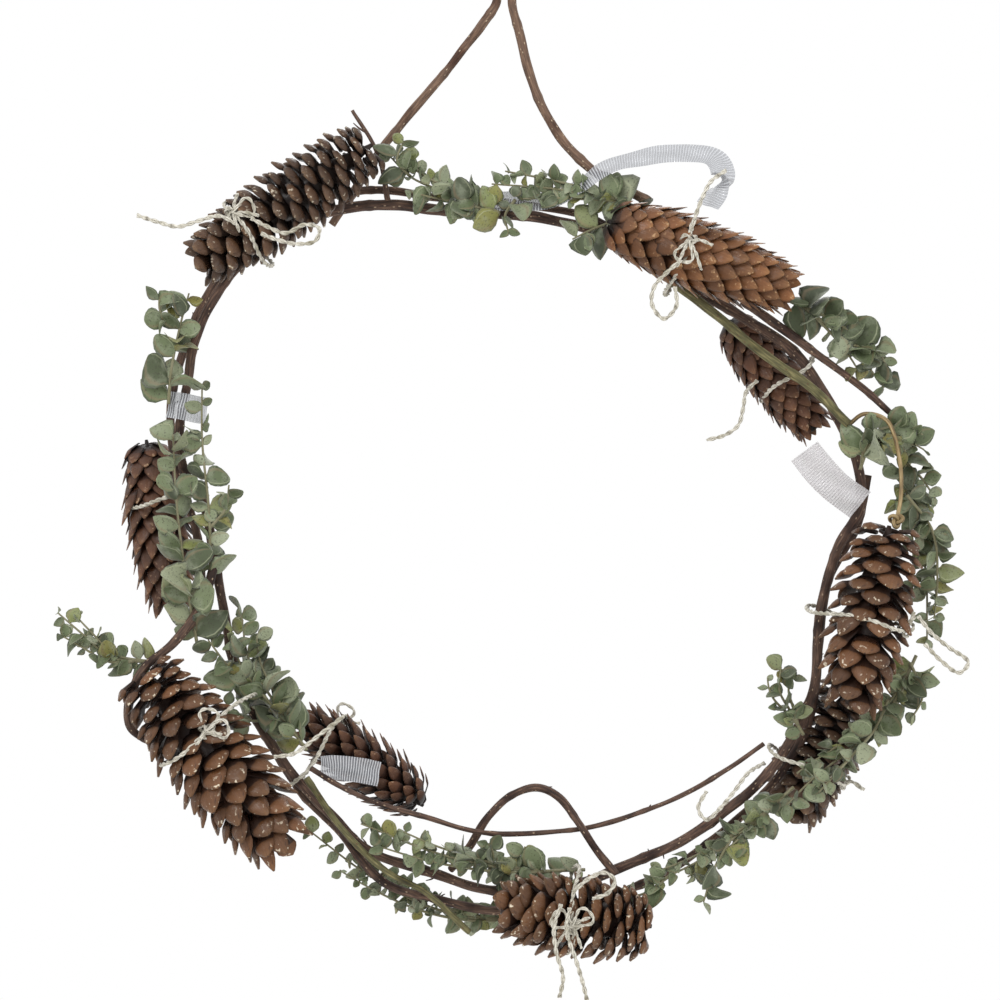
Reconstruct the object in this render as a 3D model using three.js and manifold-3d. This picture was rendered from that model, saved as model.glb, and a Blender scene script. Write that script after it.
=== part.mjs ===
// A pinecone wreath: three vines bent round into a ring, with a loop of vine to hang it by, nine
// cones tied on with twine, sprigs of eucalyptus, and a gauze ribbon wound round it.
//
// Millimetres. +Z is up, +X is to the right, and the front of the wreath faces -Y.
// Routes and places are written from the middle of the ring: [right, back, up].
// The last lines move the whole wreath so that the origin is under the top bend of the hanger,
// where the nail or hook touches it.

import * as THREE from 'three';
import { mergeVertices } from 'three/addons/utils/BufferGeometryUtils.js';
import Module from 'manifold-3d';

// ---- driving dimensions ---------------------------------------------------------------------

const HANGER_THICKNESS = 5.0;
const HANGER_BEND_TOP = [-6.5, 0, 357];
const MAIN_VINE = 6.6;
const SECOND_VINE = 5.4;
const THIN_VINE = 3.2;
const LOOP_VINE = 4.8;
const BRANCH = 6.0;
const CANE = 5.6;
const TWIG = 3.4;
const TWINE = 2.7;
const KNOT = 6.5;
const RAFFIA_WIDTH = 4.0;
const RAFFIA_THICKNESS = 1.2;
const RAFFIA_ACROSS = [0.3, -1, 0.2];
const RIBBON_WIDTH = 20;
const RIBBON_THICKNESS = 0.9;
const STEM = 2.0;
const LEAF_THICKNESS = 1.3;
const GAP = 0.3;

// How finely the solids are cut into flat faces.
const VINE_SIDES = 6;
const VINE_STEP = 30;
const CORD_SIDES = 8;
const CORD_STEP = 3 * TWINE;
const CONE_SIDES = 9;
const STRIP_STEP = 9;
const LEAF_CORNERS = 6;
const LEAF_RINGS = 2;
const STEM_SIDES = 4;
const STEM_STEP = 20;
const TIGHT_BEND_STEP = 14;
const TIE_STEPS = 11;
const TIE_SIDES = 4;
const NEAREST_STEPS = 400;

// ---- routes ---------------------------------------------------------------------------------

const HANGER_ROUTE = [
  [-111, 16, 194], [-98, 15, 213], [-86, 8, 231], [-79, 2, 240], [-69, 0, 251], [-51, 0, 273],
  [-33, 0, 295], [-20, 0, 311], [-11, 0, 327], [-14.5, 0, 338], [-13.6, 0, 351], HANGER_BEND_TOP,
  [0.6, 0, 351], [1.5, 0, 338], [-2, 0, 327], [2, 0, 309], [8, 0, 286], [16, 0, 264],
  [28, 0, 243], [45, -2, 226], [63, -4, 215], [80, -6, 205],
];

const MAIN_ROUTE = [
  [-141, 7, 186], [-123, 5, 197], [-98, 2, 203], [-76, 0, 204], [-45, 0, 201], [-10, 2, 199],
  [20, 3, 196], [51, 2, 187], [96, 2, 159], [140, 0, 135], [165, -2, 117], [184, -3, 93],
  [197, -3, 69], [205, -2, 48], [207, 0, 22], [193, 1, -4], [185, 1, -31], [182, 0, -57],
  [180, 0, -81], [175, 0, -98], [163, -1, -122], [141, -1, -147], [111, 0, -171], [75, 1, -189],
  [35, 2, -204], [-7, 1, -208], [-53, 0, -196], [-91, 0, -181], [-111, 1, -162], [-137, 2, -133],
  [-156, 2, -104], [-169, 2, -70], [-176, 1, -33], [-181, 0, -3], [-187, 0, 24], [-199, -1, 47],
  [-201, -2, 70], [-196, -3, 99], [-192, -4, 120], [-183, -5, 142], [-169, -5, 163],
  [-150, -3, 181],
];

const SECOND_ROUTE = [
  [-152, 11, -114], [-130, 10, -148], [-105, 9, -174], [-93, 8, -190], [-80, 8, -203],
  [-68, 8, -209], [-46, 8, -214], [-14, 9, -221], [22, 10, -221], [60, 10, -212], [97, 9, -194],
  [134, 8, -166], [161, 8, -137], [177, 9, -109], [184, 10, -60], [190, 10, -20], [207, 9, 12],
  [213, 8, 42],
];

const THIRD_ROUTE = [
  [-189, 11, -32], [-193, 11, 10], [-205, 11, 45], [-208, 10, 80], [-201, 10, 115],
  [-186, 11, 150], [-157, 12, 186], [-122, 10, 208], [-82, 10, 214], [-40, 9, 209], [2, 10, 206],
  [46, 11, 197], [86, 11, 174],
];

const ARC_ROUTE = [
  [-122, -8, -133], [-105, -6, -144], [-90, -5, -151], [-57, -3, -162], [-27, -1, -171],
  [9, -1, -173], [45, -1, -169], [87, 0, -156], [126, 2, -136], [150, 7, -120],
];

const LOOP_ROUTE = [
  [-39, 14, -197], [-27, 9, -182], [-15, 7, -163], [-3, 5, -151], [12, 4, -146], [27, -1, -152],
  [39, -6, -167], [50, -9, -184], [60, -11, -196],
];

const UPPER_CANE_ROUTE = [
  [81, -8, 168], [105, -9, 149], [132, -9, 127], [159, -12, 106], [180, -14, 90], [198, -15, 72],
];

const LOWER_CANE_ROUTE = [
  [-124, -14, -138], [-102, -12, -170], [-78, -10, -193], [-54, -8, -207], [-27, -7, -231],
];

const BROKEN_BRANCH_ROUTE = [[136, -10, 146], [158, -13, 129], [195, -11, 103], [226, -8, 77]];

const FRAYED_BRANCH_ROUTE = [
  [-179, -10, -12], [-187, -14, -36], [-201, -22, -57], [-217, -34, -71], [-226, -34, -89],
  [-227, -27, -106], [-216, -16, -116], [-199, -6, -121],
];

const TOP_TWIG_ROUTE = [[-76, -6, 206], [-79, -9, 224], [-86, -11, 241], [-97, -11, 259]];

const RAFFIA_ROUTE = [
  [199, -9, 72], [207, -18, 78], [219, -24, 74], [226, -25, 54], [227, -27, 30], [223, -33, 13],
];

// ---- pieces that are listed -----------------------------------------------------------------

// Each cone hangs or lies along a line from its base to its tip. `tie` is how far along that
// line its twine is.
const CONES = [
  { name: 'pine_cone_top_left', base: [-84, -29, 236], tip: [-190, -29, 163], radius: 24, tie: 0.7 },
  { name: 'spruce_cone_top_right', base: [54, -29, 191], tip: [167, -29, 148], radius: 23, tie: 0.4 },
  { name: 'spruce_cone_inner_right', base: [131, 26, 137], tip: [187, 26, 66], radius: 19, tie: 0.55 },
  { name: 'pine_cone_right', base: [219, -34, 12], tip: [196, -34, -100], radius: 26, tie: 0.5 },
  { name: 'pine_cone_lower_right', base: [206, 22, -86], tip: [166, 22, -170], radius: 25, tie: 0.6 },
  { name: 'pine_cone_bottom', base: [80, -32, -223], tip: [-14, -32, -211], radius: 26, tie: 0.5 },
  { name: 'spruce_cone_bottom_left', base: [-56, 34, -161], tip: [-134, 34, -105], radius: 21, tie: 0.75 },
  { name: 'pine_cone_lower_left', base: [-218, -38, -74], tip: [-130, -38, -182], radius: 30, tie: 0.36 },
  { name: 'spruce_cone_left', base: [-226, 32, 64], tip: [-210, 32, -46], radius: 21, tie: 0.35 },
];

const SPRIGS = [
  { name: 'eucalyptus_top_left', pairs: 3, leaf: 15,
    route: [[-9, -11, 198], [-36, -13, 208], [-62, -13, 219], [-74, -12, 231]] },
  { name: 'eucalyptus_top_right', pairs: 4, leaf: 15,
    route: [[81, -8, 199], [54, -13, 207], [24, -12, 212], [-14, -12, 215]] },
  { name: 'eucalyptus_upper_right', pairs: 4, leaf: 17,
    route: [[160, -12, 147], [176, -15, 138], [199, -14, 119], [220, -10, 94]] },
  { name: 'eucalyptus_right_round', pairs: 3, leaf: 20,
    route: [[205, -14, 45], [210, -17, 62], [226, -12, 66], [244, -8, 57]] },
  { name: 'eucalyptus_right_outer', pairs: 4, leaf: 15,
    route: [[230, 2, 52], [239, 3, 22], [247, 4, -15], [248, 4, -58]] },
  { name: 'eucalyptus_right_lower', pairs: 4, leaf: 14,
    route: [[240, -4, -66], [227, -8, -92], [206, -9, -116], [176, -12, -140], [160, -12, -156]] },
  { name: 'eucalyptus_inner_right', pairs: 4, leaf: 14,
    route: [[172, -8, -113], [164, -12, -99], [157, -14, -86], [158, -14, -72]] },
  { name: 'eucalyptus_lower_right', pairs: 4, leaf: 13,
    route: [[166, -10, -144], [139, -9, -168], [108, -9, -189], [76, -9, -204]] },
  { name: 'eucalyptus_bottom', pairs: 4, leaf: 15,
    route: [[42, 1, -195], [3, -7, -194], [-45, -9, -184], [-92, -9, -166]] },
  { name: 'eucalyptus_bottom_low', pairs: 4, leaf: 13,
    route: [[12, 17, -226], [-21, 17, -227], [-54, 16, -219], [-90, 17, -200], [-124, 15, -174]] },
  { name: 'eucalyptus_lower_left', pairs: 4, leaf: 19,
    route: [[-124, -12, -122], [-141, -14, -96], [-158, -14, -68], [-163, -12, -40]] },
  { name: 'eucalyptus_left_outer', pairs: 5, leaf: 18,
    route: [[-189, -14, -58], [-196, -16, -15], [-201, -16, 27], [-203, -16, 66]] },
  { name: 'eucalyptus_left_inner', pairs: 4, leaf: 15,
    route: [[-181, -12, -20], [-182, -13, 20], [-186, -13, 62], [-186, -14, 96]] },
  { name: 'eucalyptus_left_top', pairs: 4, leaf: 18,
    route: [[-206, -14, 84], [-204, -15, 105], [-199, -15, 130], [-194, -12, 150]] },
  { name: 'eucalyptus_far_left', pairs: 4, leaf: 13,
    route: [[-212, -18, -69], [-238, -24, -66], [-253, -24, -54], [-270, -21, -40]] },
];

// Loose ends and bows of twine: each starts at a knot.
const LOOSE_TWINE = [
  { name: 'twine_top_left_tail', route: [
    [-161, -60, 186], [-170, -62, 190], [-182, -63, 187], [-194, -61, 184], [-206, -59, 187],
    [-218, -57, 191],
  ] },
  { name: 'twine_top_left_bow', route: [
    [-152, -60, 189], [-143, -63, 184], [-132, -63, 180], [-121, -62, 185], [-113, -60, 183],
    [-115, -60, 176], [-125, -61, 174], [-136, -63, 176], [-146, -62, 180],
  ] },
  { name: 'twine_top_right_low', route: [
    [95, -56, 165], [87, -57, 158], [80, -53, 150], [79, -50, 140], [86, -48, 132], [93, -50, 139],
    [91, -54, 150],
  ] },
  { name: 'twine_top_right_up', route: [
    [101, -58, 182], [104, -60, 192], [108, -58, 202], [113, -53, 211], [122, -48, 218],
  ] },
  { name: 'twine_inner_right_tail', route: [
    [146, 6, 99], [139, 3, 92], [137, 1, 82], [134, 0, 72], [126, 0, 66], [115, 0, 63],
  ] },
  { name: 'twine_right_bow', route: [
    [232, -56, -40], [240, -56, -50], [250, -53, -58], [262, -50, -67], [257, -50, -73],
    [246, -52, -66], [236, -55, -56],
  ] },
  { name: 'twine_lower_right_bow', route: [
    [150, 2, -131], [139, -8, -136], [131, -14, -145], [122, -18, -155], [113, -21, -162],
    [108, -23, -155], [113, -22, -145],
  ] },
  { name: 'twine_bottom_long_tail', route: [
    [31, -62, -207], [29, -66, -219], [34, -66, -235], [39, -64, -252], [43, -62, -271], [47, -62, -291],
  ] },
  { name: 'twine_bottom_short_tail', route: [
    [26, -62, -205], [22, -66, -217], [23, -67, -231], [27, -66, -246], [25, -64, -258],
  ] },
  { name: 'twine_bottom_bow', route: [
    [33, -61, -198], [42, -63, -190], [51, -61, -187], [57, -59, -192], [53, -59, -199], [44, -61, -202],
  ] },
  { name: 'twine_lower_left_tail', route: [
    [-140, -48, -122], [-128, -46, -120], [-117, -44, -112], [-108, -42, -105], [-100, -40, -99],
  ] },
];

// Ribbon runs: a route for the middle of the ribbon, and the direction across it.
const RIBBONS = [
  { name: 'ribbon_top_right', width: RIBBON_WIDTH * 0.7, across: [0.3, 0.5, 0.8], route: [
    [-12, -6.5, 206], [2, -7.5, 205], [16, -8.5, 205], [28, -10, 208], [40, -12, 215],
    [50, -14, 222], [66, -18, 228], [88, -24, 231], [104, -28, 231], [117, -34, 227],
    [121, -41, 217], [117, -47, 206], [111, -52, 197],
  ] },
  { name: 'ribbon_right', width: RIBBON_WIDTH, across: [0.5, -0.3, 0.8], route: [
    [206, -8, 24], [192, -10, 34], [179, -12, 47], [172, -12, 56],
  ] },
  { name: 'ribbon_lower_left', width: RIBBON_WIDTH * 0.75, across: [0.05, 0.25, 1], route: [
    [-116, -2, -134], [-108, 4, -134], [-94, 8, -136], [-82, 12, -139],
  ] },
  { name: 'ribbon_left', width: RIBBON_WIDTH * 0.8, across: [0.2, 0.1, 1], route: [
    [-207, -7, 84], [-199, -10, 83], [-190, -9, 81], [-184, -5, 80],
  ] },
];

const COLOURS = {
  vine: 0x5a4336, cane: 0x7d7c4c, pine: 0x6b452c, spruce: 0x8f6038, leaf: 0x6f7f68,
  twine: 0xc9c2ac, raffia: 0xb99262, ribbon: 0xc9cacb,
};

// ---- from shapes to solids and back ---------------------------------------------------------

const wasm = await Module();
wasm.setup();

function solidOf(geometry) {
  const bare = geometry.index ? geometry.clone() : geometry;
  bare.deleteAttribute('normal');
  bare.deleteAttribute('uv');
  const merged = mergeVertices(bare, 1e-3);
  return new wasm.Manifold(new wasm.Mesh({
    numProp: 3,
    vertProperties: Float32Array.from(merged.attributes.position.array),
    triVerts: Uint32Array.from(merged.index.array),
  }));
}

function geometryOf(solid) {
  const mesh = solid.getMesh();
  const geometry = new THREE.BufferGeometry();
  geometry.setAttribute('position', new THREE.BufferAttribute(mesh.vertProperties, 3));
  geometry.setIndex(new THREE.BufferAttribute(mesh.triVerts, 1));
  geometry.computeVertexNormals();
  return geometry;
}

function largestBody(solid) {
  return solid.decompose().reduce((best, body) => (body.volume() > best.volume() ? body : best));
}

// ---- shapes ---------------------------------------------------------------------------------

const vector = (place) => new THREE.Vector3(...place);
const pathOf = (route) => new THREE.CatmullRomCurve3(route.map(vector), false, 'centripetal');

// A round bar bent along a route, its radius set along its length by `radiusAt(0..1)`.
function bentBar(route, radiusAt, sides = VINE_SIDES, step = VINE_STEP) {
  const path = pathOf(route);
  const steps = Math.max(3, Math.round(path.getLength() / step));
  const bar = new THREE.CylinderGeometry(1, 1, 1, sides, steps);
  const { normals, binormals } = path.computeFrenetFrames(steps, false);
  const corners = bar.attributes.position;
  for (let i = 0; i < corners.count; i += 1) {
    const row = Math.round((corners.getY(i) + 0.5) * steps);
    const radius = radiusAt(row / steps);
    const place = path.getPointAt(row / steps)
      .addScaledVector(binormals[row], corners.getX(i) * radius)
      .addScaledVector(normals[row], corners.getZ(i) * radius);
    corners.setXYZ(i, place.x, place.y, place.z);
  }
  return bar;
}

// A vine thins evenly from its thick end to its thin end.
function vine(route, thick, thin, grow, step) {
  const radiusAt = (t) => (thick + (thin - thick) * t) / 2 + grow;
  return solidOf(bentBar(route, radiusAt, VINE_SIDES, step));
}

// A free cord is a round section carried along its route.
function cord(route, thickness, grow) {
  const path = pathOf(route);
  const section = new THREE.Shape();
  section.absarc(0, 0, thickness / 2 + grow, 0, 2 * Math.PI);
  const steps = Math.round(path.getLength() / CORD_STEP);
  return solidOf(new THREE.ExtrudeGeometry(section, {
    extrudePath: path, steps, curveSegments: CORD_SIDES, bevelEnabled: false,
  }));
}

// A flat strip bent along a route, its width lying as near to `across` as the route allows.
function strip(route, width, across, thickness) {
  const path = pathOf(route);
  const steps = Math.round(path.getLength() / STRIP_STEP);
  const flat = new THREE.BoxGeometry(1, 1, 1, 1, 1, steps);
  const corners = flat.attributes.position;
  for (let i = 0; i < corners.count; i += 1) {
    const t = THREE.MathUtils.clamp(corners.getZ(i) + 0.5, 0, 1);
    const along = path.getTangentAt(t);
    const side = vector(across).addScaledVector(along, -vector(across).dot(along)).normalize();
    const face = along.clone().cross(side);
    const place = path.getPointAt(t)
      .addScaledVector(side, corners.getX(i) * width)
      .addScaledVector(face, corners.getY(i) * thickness);
    corners.setXYZ(i, place.x, place.y, place.z);
  }
  return solidOf(flat);
}

// A cone is a stack of tiers. Each tier flares out to the tips of its scales and steps back in
// under them, and the tips stand out at every second corner, turned by half a scale per tier.
function cone({ base, tip, radius }, grow) {
  const length = vector(base).distanceTo(vector(tip));
  const tiers = Math.round(length / 14);
  const profile = [new THREE.Vector2(0, -grow)];
  for (let tier = 0; tier < tiers; tier += 1) {
    const middle = (tier + 0.5) / tiers;
    const swell = Math.sin(Math.PI * (0.14 + 0.78 * middle)) ** 0.42;
    profile.push(new THREE.Vector2(radius * swell * 0.72 + grow, (length * tier) / tiers + 1 - grow));
    profile.push(new THREE.Vector2(radius * swell + grow, (length * (tier + 0.75)) / tiers - grow));
  }
  profile.push(new THREE.Vector2(0, length + grow));
  const turn = new THREE.Quaternion().setFromUnitVectors(
    new THREE.Vector3(0, 1, 0), vector(tip).sub(vector(base)).normalize(),
  );
  const upright = new THREE.LatheGeometry(profile, CONE_SIDES);
  upright.applyQuaternion(turn);
  upright.translate(...base);
  return solidOf(upright);
}

// A repeatable spread of numbers from 0 to 1, so that no two leaves are quite alike.
const spread = (k, offset) => (k * 0.6180339887 + offset) % 1;

// A eucalyptus sprig: a thin stem with leaves in opposite pairs, each pair a quarter turn on
// from the last, larger at the cut end and turned mostly towards the front.
function sprig({ route, pairs, leaf }, seed, grow) {
  const path = pathOf(route);
  let whole = solidOf(bentBar(route, (t) => (STEM / 2) * (1.1 - 0.5 * t) + grow, STEM_SIDES, STEM_STEP));
  for (let pair = 0; pair < pairs; pair += 1) {
    const t = (pair + 0.8) / (pairs + 0.3);
    const along = path.getTangentAt(t);
    const front = new THREE.Vector3(0, -1, 0);
    const sideways = along.clone().cross(front).normalize();
    for (const side of [-1, 1]) {
      const k = pair * 2 + (side + 1) / 2;
      const size = leaf * (1.1 - 0.45 * t) * (0.85 + 0.3 * spread(k, seed));
      const tilt = (pair % 2 ? 0.9 : 0.25) + 0.5 * spread(k, seed + 0.3);
      const out = sideways.clone().multiplyScalar(side * Math.cos(tilt))
        .addScaledVector(front, Math.sin(tilt) * (pair % 4 === 3 ? -0.6 : 0.8))
        .addScaledVector(along, 0.5)
        .normalize();
      const face = front.clone().addScaledVector(out, -front.dot(out)).normalize();
      const width = out.clone().cross(face);
      const basis = new THREE.Matrix4().makeBasis(width, out, face);
      const blade = new THREE.SphereGeometry(1, LEAF_CORNERS, LEAF_RINGS);
      blade.rotateX(Math.PI / 2);
      blade.scale(size * 0.46 + grow, size * 0.5 + grow, LEAF_THICKNESS / 2 + grow);
      blade.applyMatrix4(basis);
      blade.translate(...path.getPointAt(t).addScaledVector(out, size * 0.46).toArray());
      whole = whole.add(solidOf(blade));
    }
  }
  return whole;
}

// A twine tie is a ring round both a cone and the vine that carries it, with a knot in front.
function tie({ base, tip, radius, tie: station }, carrier, grow) {
  const axis = vector(tip).sub(vector(base)).normalize();
  const middle = vector(base).lerp(vector(tip), station);
  const path = pathOf(carrier);
  let nearest = path.getPointAt(0);
  for (let step = 1; step <= NEAREST_STEPS; step += 1) {
    const place = path.getPointAt(step / NEAREST_STEPS);
    if (place.distanceTo(middle) < nearest.distanceTo(middle)) nearest = place;
  }
  const reach = nearest.clone().sub(middle);
  reach.addScaledVector(axis, -reach.dot(axis));
  const far = reach.length() + MAIN_VINE / 2 + TWINE / 2 + GAP;
  const near = radius * 0.98;
  const towards = reach.clone().normalize();
  const long = (far + near) / 2;
  const wide = radius * 0.96;
  const centre = middle.clone().addScaledVector(towards, (far - near) / 2);
  const section = 0.2;
  const ring = new THREE.TorusGeometry(1, section, TIE_SIDES, TIE_STEPS);
  const corners = ring.attributes.position;
  const basis = new THREE.Matrix4().makeBasis(towards, axis.clone().cross(towards), axis);
  for (let i = 0; i < corners.count; i += 1) {
    const place = new THREE.Vector3().fromBufferAttribute(corners, i);
    const turn = Math.atan2(place.y, place.x);
    const off = place.clone().sub(new THREE.Vector3(Math.cos(turn), Math.sin(turn), 0));
    off.multiplyScalar((TWINE / 2 + grow) / section);
    place.set(long * Math.cos(turn), wide * Math.sin(turn), 0).add(off);
    place.applyMatrix4(basis).add(centre);
    corners.setXYZ(i, place.x, place.y, place.z);
  }
  const knot = new THREE.SphereGeometry(KNOT / 2 + grow, 5, 3);
  knot.translate(...middle.clone().addScaledVector(towards, -near).toArray());
  return solidOf(ring).add(solidOf(knot));
}

// ---- the assembly ---------------------------------------------------------------------------

const wreath = new THREE.Group();
let taken = null;

// Adds a piece. `make(grow)` gives its solid, fatter all over by `grow`. The piece is cut back
// by what is already there, a gap wider, and only its largest body is kept.
function addPiece(name, make, colour, roughness, metalness = 0) {
  let solid = make(0);
  if (taken) solid = largestBody(solid.subtract(taken));
  const room = make(GAP);
  taken = taken ? taken.add(room) : room;
  const material = new THREE.MeshStandardMaterial({ color: colour, roughness, metalness });
  const mesh = new THREE.Mesh(geometryOf(solid), material);
  mesh.name = name;
  wreath.add(mesh);
}

function addVine(name, route, thick, thin, colour = COLOURS.vine, step = VINE_STEP) {
  addPiece(name, (grow) => vine(route, thick, thin, grow, step), colour, 0.8);
}

addVine('hanger_vine', HANGER_ROUTE, HANGER_THICKNESS, HANGER_THICKNESS * 1.15, COLOURS.vine, TIGHT_BEND_STEP);
addVine('vine_main', MAIN_ROUTE, MAIN_VINE, MAIN_VINE * 0.85);
addVine('vine_second', SECOND_ROUTE, SECOND_VINE, SECOND_VINE * 0.9);
addVine('vine_third', THIRD_ROUTE, SECOND_VINE, SECOND_VINE * 0.85);
addVine('vine_inner_arc', ARC_ROUTE, THIN_VINE, THIN_VINE * 0.9);
addVine('vine_bottom_loop', LOOP_ROUTE, LOOP_VINE, LOOP_VINE * 0.95, COLOURS.vine, TIGHT_BEND_STEP);
addVine('branch_broken', BROKEN_BRANCH_ROUTE, BRANCH, BRANCH * 0.6);
addVine('branch_frayed', FRAYED_BRANCH_ROUTE, BRANCH, BRANCH * 0.75, COLOURS.vine, TIGHT_BEND_STEP);
addVine('twig_top', TOP_TWIG_ROUTE, TWIG, TWIG * 0.6);
addVine('cane_upper', UPPER_CANE_ROUTE, CANE, CANE, COLOURS.cane);
addVine('cane_lower', LOWER_CANE_ROUTE, CANE * 0.7, CANE * 0.65, COLOURS.cane);

for (const one of CONES) {
  const name = one.name.replace(/(pine|spruce)_cone/, 'twine_tie');
  addPiece(name, (grow) => tie(one, MAIN_ROUTE, grow), COLOURS.twine, 0.9);
}
addPiece(
  'raffia_tie',
  (grow) => strip(RAFFIA_ROUTE, RAFFIA_WIDTH + grow, RAFFIA_ACROSS, RAFFIA_THICKNESS + grow),
  COLOURS.raffia,
  0.7,
);
for (const one of CONES) {
  const colour = one.name.startsWith('pine') ? COLOURS.pine : COLOURS.spruce;
  addPiece(one.name, (grow) => cone(one, grow), colour, 0.75);
}
for (const { name, route } of LOOSE_TWINE) {
  addPiece(name, (grow) => cord(route, TWINE, grow), COLOURS.twine, 0.9);
}
for (const { name, route, width, across } of RIBBONS) {
  const make = (grow) => strip(route, width + 2 * grow, across, RIBBON_THICKNESS + 2 * grow);
  addPiece(name, make, COLOURS.ribbon, 0.4, 0.2);
}
SPRIGS.forEach((one, index) => {
  addPiece(one.name, (grow) => sprig(one, index * 0.37, grow), COLOURS.leaf, 0.65);
});

const hook = vector(HANGER_BEND_TOP);
hook.z -= HANGER_THICKNESS / 2;
wreath.position.copy(hook).negate();

export default wreath;
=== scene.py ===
# %% [markdown]
# # A pinecone wreath
#
# The wreath is a thin ring of bare vines with cones, eucalyptus, twine and gauze ribbon tied to
# it. The solid model made first fixes where every piece is. Here each piece gets its real
# surface: cones are built scale by scale, leaves one by one, and twine is two twisted strands.
# Everything is a grid of points worked out with numpy, so a shape is always one formula.

import bpy
import numpy as np
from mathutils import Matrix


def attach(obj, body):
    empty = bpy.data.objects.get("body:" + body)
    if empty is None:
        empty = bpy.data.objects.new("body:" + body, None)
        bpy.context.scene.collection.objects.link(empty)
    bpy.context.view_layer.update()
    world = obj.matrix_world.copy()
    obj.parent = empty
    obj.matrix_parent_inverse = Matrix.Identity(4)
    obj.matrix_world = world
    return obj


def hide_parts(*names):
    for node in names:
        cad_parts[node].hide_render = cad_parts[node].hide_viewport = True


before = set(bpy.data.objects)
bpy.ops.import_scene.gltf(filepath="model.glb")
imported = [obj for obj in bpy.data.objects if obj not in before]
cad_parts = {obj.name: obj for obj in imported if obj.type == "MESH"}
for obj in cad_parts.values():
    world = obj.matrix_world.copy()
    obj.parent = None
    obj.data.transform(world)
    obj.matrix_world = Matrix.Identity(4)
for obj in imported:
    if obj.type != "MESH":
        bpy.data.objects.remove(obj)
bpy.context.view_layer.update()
print("nodes in the frame:", len(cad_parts))

# %% [markdown]
# ## Places
#
# Routes are written in millimetres from the middle of the ring as (right, back, up), because
# that is how a maker would measure them. The model's own origin is under the top bend of the
# hanger, so one helper moves points there and turns them into metres.

# %% Millimetres round the ring to metres under the hook
MM = 0.001
HOOK = np.array([-6.5, 0.0, 354.5])
FRONT = np.array([0.0, -1.0, 0.0])
# The first random seed of each kind of piece, so that no two kinds draw the same numbers.
SEEDS = {"spurs": 200, "cones": 300, "sprigs": 400, "ribbons": 500, "ties": 600, "shoots": 700}


def place(points):
    """Ring millimetres to model metres: (point - hook) * 0.001."""
    return (np.asarray(points, float) - HOOK) * MM


def circle(count):
    """`count` equal steps round a full turn: 2 pi i / count."""
    return 2 * np.pi * np.arange(count) / count


def show(item):
    """Puts a new object into the scene."""
    bpy.context.scene.collection.objects.link(item)


def unit(vectors):
    """Each vector divided by its own length."""
    return vectors / np.maximum(np.linalg.norm(vectors, axis=-1, keepdims=True), 1e-9)


print("the ring's middle is at", place([0, 0, 0]).tolist())

# %% [markdown]
# ## The camera
#
# The wreath is seen square on, from about its own height. A long lens stands well back, so the
# ring keeps its round shape and cones near the edge aren't stretched.

# %% Camera
VIEW_WIDTH = 0.6
VIEW_CENTRE = place([-9, 0, 27])
LENS = 85.0
SENSOR = 36.0

camera_data = bpy.data.cameras.new("camera")
camera_data.lens = LENS
camera_data.sensor_width = SENSOR
camera = bpy.data.objects.new("camera", camera_data)
distance = VIEW_WIDTH * LENS / SENSOR
camera.location = (VIEW_CENTRE[0], -distance, VIEW_CENTRE[2])
camera.rotation_euler = (np.pi / 2, 0, 0)
show(camera)
bpy.context.scene.camera = camera
print("camera distance:", round(distance, 3), "m")

# %% [markdown]
# ## Smooth lines
#
# A vine or a length of twine is first a line through a few chosen points. Between two points the
# line is a cubic, and its slope at each point is that of the parabola through the point and its
# two neighbours, so it bends evenly. Then it is cut into equal steps.

# %% A smooth line through chosen points
def run_along(line):
    """How far along the line each point is, starting from 0."""
    return np.concatenate([[0], np.cumsum(np.linalg.norm(np.diff(line, axis=0), axis=1))])


def smooth_line(points, step):
    """Cubic Hermite curve p(s) = (2s3-3s2+1)a + (s3-2s2+s)ma + (3s2-2s3)b + (s3-s2)mb, spaced evenly."""
    points = np.asarray(points, float)
    spans = np.sqrt(np.linalg.norm(np.diff(points, axis=0), axis=1))
    knots = np.concatenate([[0], np.cumsum(spans)])
    slopes = np.gradient(points, knots, axis=0)
    at = np.linspace(0, knots[-1], 60 * len(points))
    k = np.clip(np.searchsorted(knots, at, side="right") - 1, 0, len(points) - 2)
    width = (knots[k + 1] - knots[k])[:, None]
    s = (at - knots[k])[:, None] / width
    dense = (2 * s**3 - 3 * s**2 + 1) * points[k] + (s**3 - 2 * s**2 + s) * width * slopes[k]
    dense += (3 * s**2 - 2 * s**3) * points[k + 1] + (s**3 - s**2) * width * slopes[k + 1]
    run = run_along(dense)
    even = np.linspace(0, run[-1], max(4, round(run[-1] / step)) + 1)
    return np.stack([np.interp(even, run, dense[:, axis]) for axis in range(3)], axis=1)


def length_of(line):
    """Sum of the straight steps."""
    return float(np.linalg.norm(np.diff(line, axis=0), axis=1).sum())


def directions(line, beside=(0, 1, 0)):
    """Along = the line's slope; side = along x beside; up = along x side. All are unit vectors."""
    along = unit(np.gradient(line, axis=0))
    side = unit(np.cross(along, np.broadcast_to(beside, line.shape)))
    return along, side, np.cross(along, side)


print("a test line of 3 points becomes", smooth_line([[0, 0, 0], [9, 0, 5], [20, 0, 0]], 2).shape)

# %% [markdown]
# ## From grids of points to a mesh
#
# Every surface here is a grid: rows go along the piece, columns go across or round it. One
# function turns a stack of such grids into faces, and another joins several stacks into one
# Blender object with its texture coordinates and a `tone` number that makes each scale or leaf
# a little lighter or darker than the next.

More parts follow.
